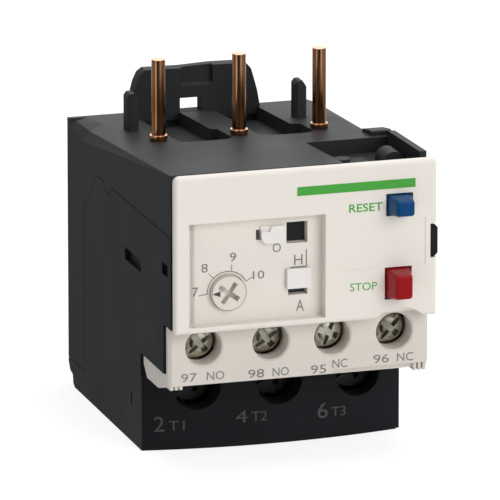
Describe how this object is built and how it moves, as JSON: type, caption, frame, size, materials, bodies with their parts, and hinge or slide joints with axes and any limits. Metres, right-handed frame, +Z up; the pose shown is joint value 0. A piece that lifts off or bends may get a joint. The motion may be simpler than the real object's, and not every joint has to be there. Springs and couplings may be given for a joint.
{
  "type": "thermal overload relay",
  "caption": "Plug-under thermal overload relay with copper pins, a setting dial behind a hinged clear cover, reset and stop buttons, control screw terminals and a motor terminal base.",
  "frame": {"origin": "middle of the flat underside of the housing", "axes": "+X to the right seen from the front panel, +Y to the back, +Z up along the pins"},
  "size_m": [0.0455, 0.0655, 0.0626],
  "materials": {
    "black": "matte",
    "white": "satin",
    "clear": "gloss",
    "blue": "satin",
    "red": "satin",
    "dial_white": "satin",
    "dark_blue": "satin",
    "flag": "matte",
    "copper": "satin",
    "plated": "satin",
    "spring_steel": "satin",
    "bimetal": "satin",
    "heater": "matte",
    "mechanism": "matte"
  },
  "bodies": {
    "case": {"upper_housing": "black", "lower_housing": "black", "front_cover": "white", "terminal_strip": "white", "hinge_pin": "plated", "mechanism_plate": "mechanism", "lever_pin": "plated", "aux_terminal_97": "copper", "aux_terminal_98": "copper", "aux_terminal_95": "copper", "aux_terminal_96": "copper", "power_pin_1": "copper", "heater_coil_1": "heater", "bimetal_1": "bimetal", "output_bar_1": "copper", "power_pin_2": "copper", "heater_coil_2": "heater", "bimetal_2": "bimetal", "output_bar_2": "copper", "power_pin_3": "copper", "heater_coil_3": "heater", "bimetal_3": "bimetal", "output_bar_3": "copper"},
    "window": {"window_cover": "clear"},
    "dial": {"setting_dial": "dial_white", "dial_cam": "dial_white"},
    "selector": {"mode_selector": "dial_white", "selector_slide": "dark_blue"},
    "tab": {"test_tab": "dial_white"},
    "flag": {"trip_flag": "flag"},
    "reset": {"reset_button": "blue", "reset_spring": "spring_steel"},
    "stop": {"stop_button": "red", "stop_spring": "spring_steel"},
    "bars": {"trip_bar": "mechanism", "differential_bar": "mechanism"},
    "lever": {"trip_lever": "mechanism", "compensating_strip": "bimetal"},
    "carrier": {"contact_carrier": "mechanism", "contact_bridge_no": "copper", "contact_bridge_nc": "copper"},
    "clamp_97": {"aux_clamp_97": "plated"},
    "screw_97": {"aux_screw_97": "plated"},
    "clamp_98": {"aux_clamp_98": "plated"},
    "screw_98": {"aux_screw_98": "plated"},
    "clamp_95": {"aux_clamp_95": "plated"},
    "screw_95": {"aux_screw_95": "plated"},
    "clamp_96": {"aux_clamp_96": "plated"},
    "screw_96": {"aux_screw_96": "plated"},
    "power_clamp_body_1": {"power_clamp_1": "plated"},
    "power_screw_body_1": {"power_screw_1": "plated"},
    "power_clamp_body_2": {"power_clamp_2": "plated"},
    "power_screw_body_2": {"power_screw_2": "plated"},
    "power_clamp_body_3": {"power_clamp_3": "plated"},
    "power_screw_body_3": {"power_screw_3": "plated"}
  },
  "joints": [
    {"name": "window_hinge", "type": "hinge", "parent": "case", "child": "window", "pos_m": [-0.01895, -0.03025, 0.03435], "axis": [0, 0, -1], "range_deg": [0, 100]},
    {"name": "dial_turn", "type": "hinge", "parent": "case", "child": "dial", "pos_m": [-0.01255, -0.025, 0.0307], "axis": [0, 1, 0], "range_deg": [0, 150]},
    {"name": "selector_slide", "type": "slide", "parent": "case", "child": "selector", "axis": [0, 0, -1], "range_m": [0, 0.0014]},
    {"name": "tab_slide", "type": "slide", "parent": "case", "child": "tab", "axis": [-1, 0, 0], "range_m": [0, 0.0015], "stiffness_N_per_m": 200, "springref_m": -0.0004},
    {"name": "flag_drop", "type": "slide", "parent": "case", "child": "flag", "axis": [0, 0, -1], "range_m": [0, 0.0022]},
    {"name": "reset_press", "type": "slide", "parent": "case", "child": "reset", "axis": [0, 1, 0], "range_m": [0, 0.0025], "stiffness_N_per_m": 600, "springref_m": -0.001, "deforming": ["reset_spring"]},
    {"name": "stop_press", "type": "slide", "parent": "case", "child": "stop", "axis": [0, 1, 0], "range_m": [0, 0.002], "stiffness_N_per_m": 600, "springref_m": -0.001, "deforming": ["stop_spring"]},
    {"name": "bars_slide", "type": "slide", "parent": "case", "child": "bars", "axis": [1, 0, 0], "range_m": [0, 0.002], "stiffness_N_per_m": 150, "springref_m": -0.0005},
    {"name": "lever_turn", "type": "hinge", "parent": "case", "child": "lever", "pos_m": [0.0175, -0.0097, 0.042], "axis": [0, 0, -1], "range_deg": [0, 6.8]},
    {"name": "carrier_slide", "type": "slide", "parent": "case", "child": "carrier", "axis": [0, 1, 0], "range_m": [0, 0.00061]},
    {"name": "clamp_97_slide", "type": "slide", "parent": "case", "child": "clamp_97", "axis": [0, 1, 0], "range_m": [0, 0.0024]},
    {"name": "screw_97_turn", "type": "hinge", "parent": "clamp_97", "child": "screw_97", "pos_m": [-0.0161, -0.023, 0.0212], "axis": [0, 1, 0], "range_deg": [0, 1600]},
    {"name": "clamp_98_slide", "type": "slide", "parent": "case", "child": "clamp_98", "axis": [0, 1, 0], "range_m": [0, 0.0024]},
    {"name": "screw_98_turn", "type": "hinge", "parent": "clamp_98", "child": "screw_98", "pos_m": [-0.0046, -0.023, 0.0212], "axis": [0, 1, 0], "range_deg": [0, 1600]},
    {"name": "clamp_95_slide", "type": "slide", "parent": "case", "child": "clamp_95", "axis": [0, 1, 0], "range_m": [0, 0.0024]},
    {"name": "screw_95_turn", "type": "hinge", "parent": "clamp_95", "child": "screw_95", "pos_m": [0.006, -0.023, 0.0212], "axis": [0, 1, 0], "range_deg": [0, 1600]},
    {"name": "clamp_96_slide", "type": "slide", "parent": "case", "child": "clamp_96", "axis": [0, 1, 0], "range_m": [0, 0.0024]},
    {"name": "screw_96_turn", "type": "hinge", "parent": "clamp_96", "child": "screw_96", "pos_m": [0.0167, -0.023, 0.0212], "axis": [0, 1, 0], "range_deg": [0, 1600]},
    {"name": "power_clamp_1_slide", "type": "slide", "parent": "case", "child": "power_clamp_body_1", "axis": [0, 1, 0], "range_m": [0, 0.0035]},
    {"name": "power_screw_1_turn", "type": "hinge", "parent": "power_clamp_body_1", "child": "power_screw_body_1", "pos_m": [-0.0133, -0.007, 0.0107], "axis": [0, 1, 0], "range_deg": [0, 2000]},
    {"name": "power_clamp_2_slide", "type": "slide", "parent": "case", "child": "power_clamp_body_2", "axis": [0, 1, 0], "range_m": [0, 0.0035]},
    {"name": "power_screw_2_turn", "type": "hinge", "parent": "power_clamp_body_2", "child": "power_screw_body_2", "pos_m": [0.0007, -0.007, 0.0107], "axis": [0, 1, 0], "range_deg": [0, 2000]},
    {"name": "power_clamp_3_slide", "type": "slide", "parent": "case", "child": "power_clamp_body_3", "axis": [0, 1, 0], "range_m": [0, 0.0035]},
    {"name": "power_screw_3_turn", "type": "hinge", "parent": "power_clamp_body_3", "child": "power_screw_body_3", "pos_m": [0.0147, -0.007, 0.0107], "axis": [0, 1, 0], "range_deg": [0, 2000]}
  ],
  "couplings": [
    {"joint": "flag_drop", "follows": "bars_slide", "ratio": 1.1},
    {"joint": "lever_turn", "follows": "bars_slide", "rad_per_m": 58.8},
    {"joint": "carrier_slide", "follows": "bars_slide", "ratio": 0.3},
    {"joint": "screw_97_turn", "follows": "clamp_97_slide", "rad_per_m": 10472},
    {"joint": "screw_98_turn", "follows": "clamp_98_slide", "rad_per_m": 10472},
    {"joint": "screw_95_turn", "follows": "clamp_95_slide", "rad_per_m": 10472},
    {"joint": "screw_96_turn", "follows": "clamp_96_slide", "rad_per_m": 10472},
    {"joint": "power_screw_1_turn", "follows": "power_clamp_1_slide", "rad_per_m": 8976},
    {"joint": "power_screw_2_turn", "follows": "power_clamp_2_slide", "rad_per_m": 8976},
    {"joint": "power_screw_3_turn", "follows": "power_clamp_3_slide", "rad_per_m": 8976}
  ]
}
